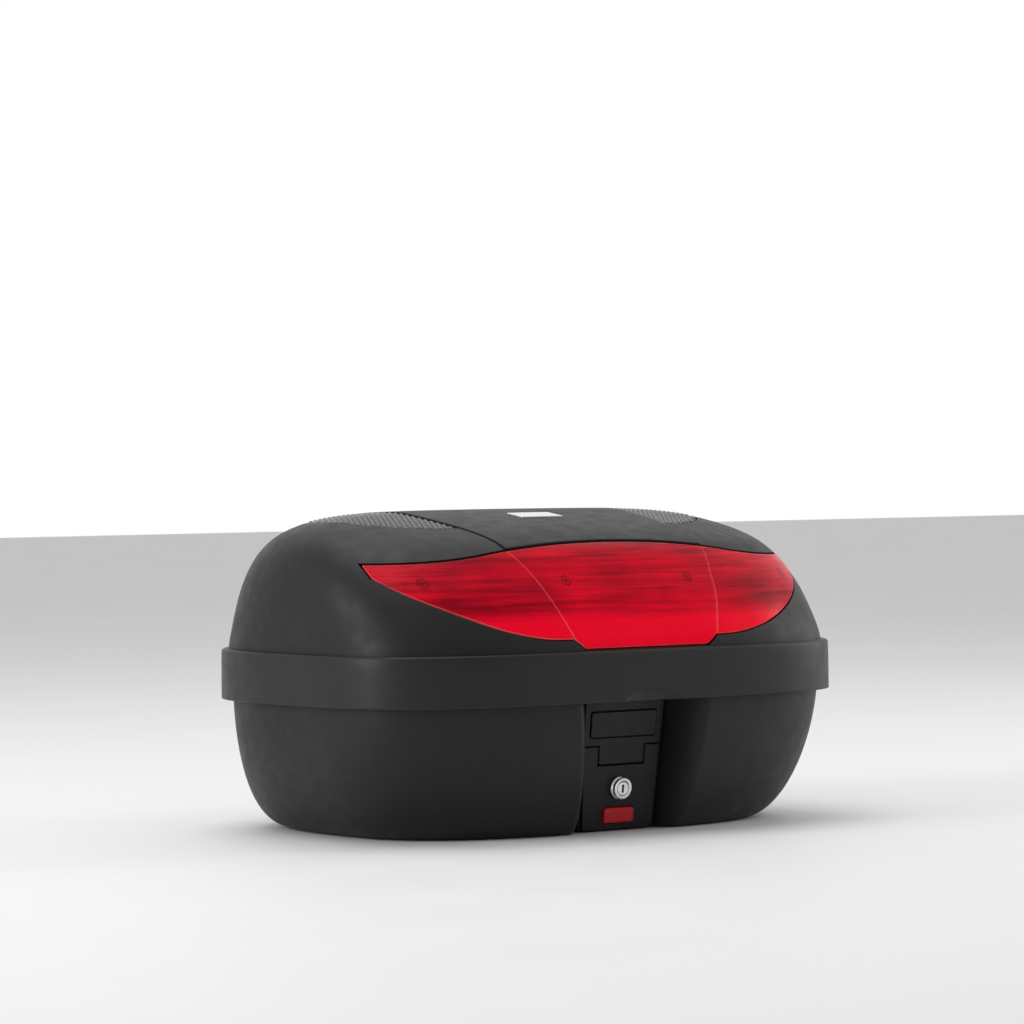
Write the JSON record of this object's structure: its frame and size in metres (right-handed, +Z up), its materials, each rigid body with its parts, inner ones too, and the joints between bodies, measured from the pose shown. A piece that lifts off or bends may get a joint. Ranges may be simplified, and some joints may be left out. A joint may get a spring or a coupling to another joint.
{
  "type": "motorcycle top case",
  "caption": "Hard motorcycle top case: moulded tub, hinged domed lid with rim band and red reflector lens, hasp latch with key lock and release button.",
  "frame": {"origin": "middle of the flat base, on the base plane", "axes": "+Z up; +X across the case, along its width; -Y towards the latch side and +Y towards the hinges"},
  "size_m": [0.59, 0.443, 0.3143],
  "materials": {
    "shell": "fine-grained matt black",
    "panel": "fine-grained matt black",
    "band": "fine-grained matt black",
    "pad": "raised-dot textured grey",
    "lens": "translucent red reflector",
    "tray": "dark red",
    "gasket": "matt",
    "badge": "blank, satin silver-white",
    "button_red": "glossy red",
    "chrome": "polished",
    "latch": "satin black",
    "steel": "zinc plated"
  },
  "bodies": {
    "case": {"button_spring": "steel", "hinge_leaf_lower_left": "latch", "hinge_leaf_lower_right": "latch", "hinge_pin_left": "steel", "hinge_pin_right": "steel", "hinge_screw_lower_left_1": "steel", "hinge_screw_lower_left_2": "steel", "hinge_screw_lower_right_1": "steel", "hinge_screw_lower_right_2": "steel", "latch_housing": "latch", "latch_screw_1": "steel", "latch_screw_2": "steel", "latch_screw_3": "steel", "latch_screw_4": "steel", "lock_barrel": "chrome", "lower_shell": "shell", "rim_gasket": "gasket"},
    "lid": {"badge_plate": "badge", "centre_panel": "panel", "grip_pad_left": "pad", "grip_pad_right": "pad", "hasp_housing": "latch", "hasp_pin": "steel", "hinge_leaf_upper_left": "latch", "hinge_leaf_upper_right": "latch", "hinge_screw_upper_left_1": "steel", "hinge_screw_upper_left_2": "steel", "hinge_screw_upper_right_1": "steel", "hinge_screw_upper_right_2": "steel", "lens_centre": "lens", "lens_left": "lens", "lens_right": "lens", "lens_screw_1": "steel", "lens_screw_2": "steel", "lens_screw_3": "steel", "lens_screw_4": "steel", "lens_tray": "tray", "lid_shell": "shell", "rim_band": "band"},
    "hasp": {"hasp": "latch"},
    "lock": {"lock_plug": "chrome", "lock_cam": "steel"},
    "bolt": {"latch_bolt": "steel"},
    "button": {"release_button": "button_red", "release_catch": "steel"}
  },
  "joints": [
    {"name": "lid_hinge", "type": "hinge", "parent": "case", "child": "lid", "pos_m": [0, 0.2225, 0.122], "axis": [-1, 0, 0], "range_deg": [0, 75]},
    {"name": "hasp_hinge", "type": "hinge", "parent": "lid", "child": "hasp", "pos_m": [0, -0.16959, 0.14783], "axis": [-1, 0, 0], "range_deg": [0, 50]},
    {"name": "key_turn", "type": "hinge", "parent": "case", "child": "lock", "pos_m": [0, -0.16029, 0.04197], "axis": [0, -0.9922, -0.125], "range_deg": [0, 90]},
    {"name": "bolt_slide", "type": "slide", "parent": "case", "child": "bolt", "axis": [-1, 0, 0], "range_m": [0, 0.006]},
    {"name": "button_press", "type": "slide", "parent": "case", "child": "button", "axis": [0, 0.9922, 0.125], "range_m": [0, 0.0035], "stiffness_N_per_m": 900, "deforming": ["button_spring"]}
  ],
  "couplings": [
    {"joint": "hasp_hinge", "follows": "lid_hinge", "ratio": 0.65},
    {"joint": "key_turn", "follows": "bolt_slide", "rad_per_m": 261.79}
  ]
}
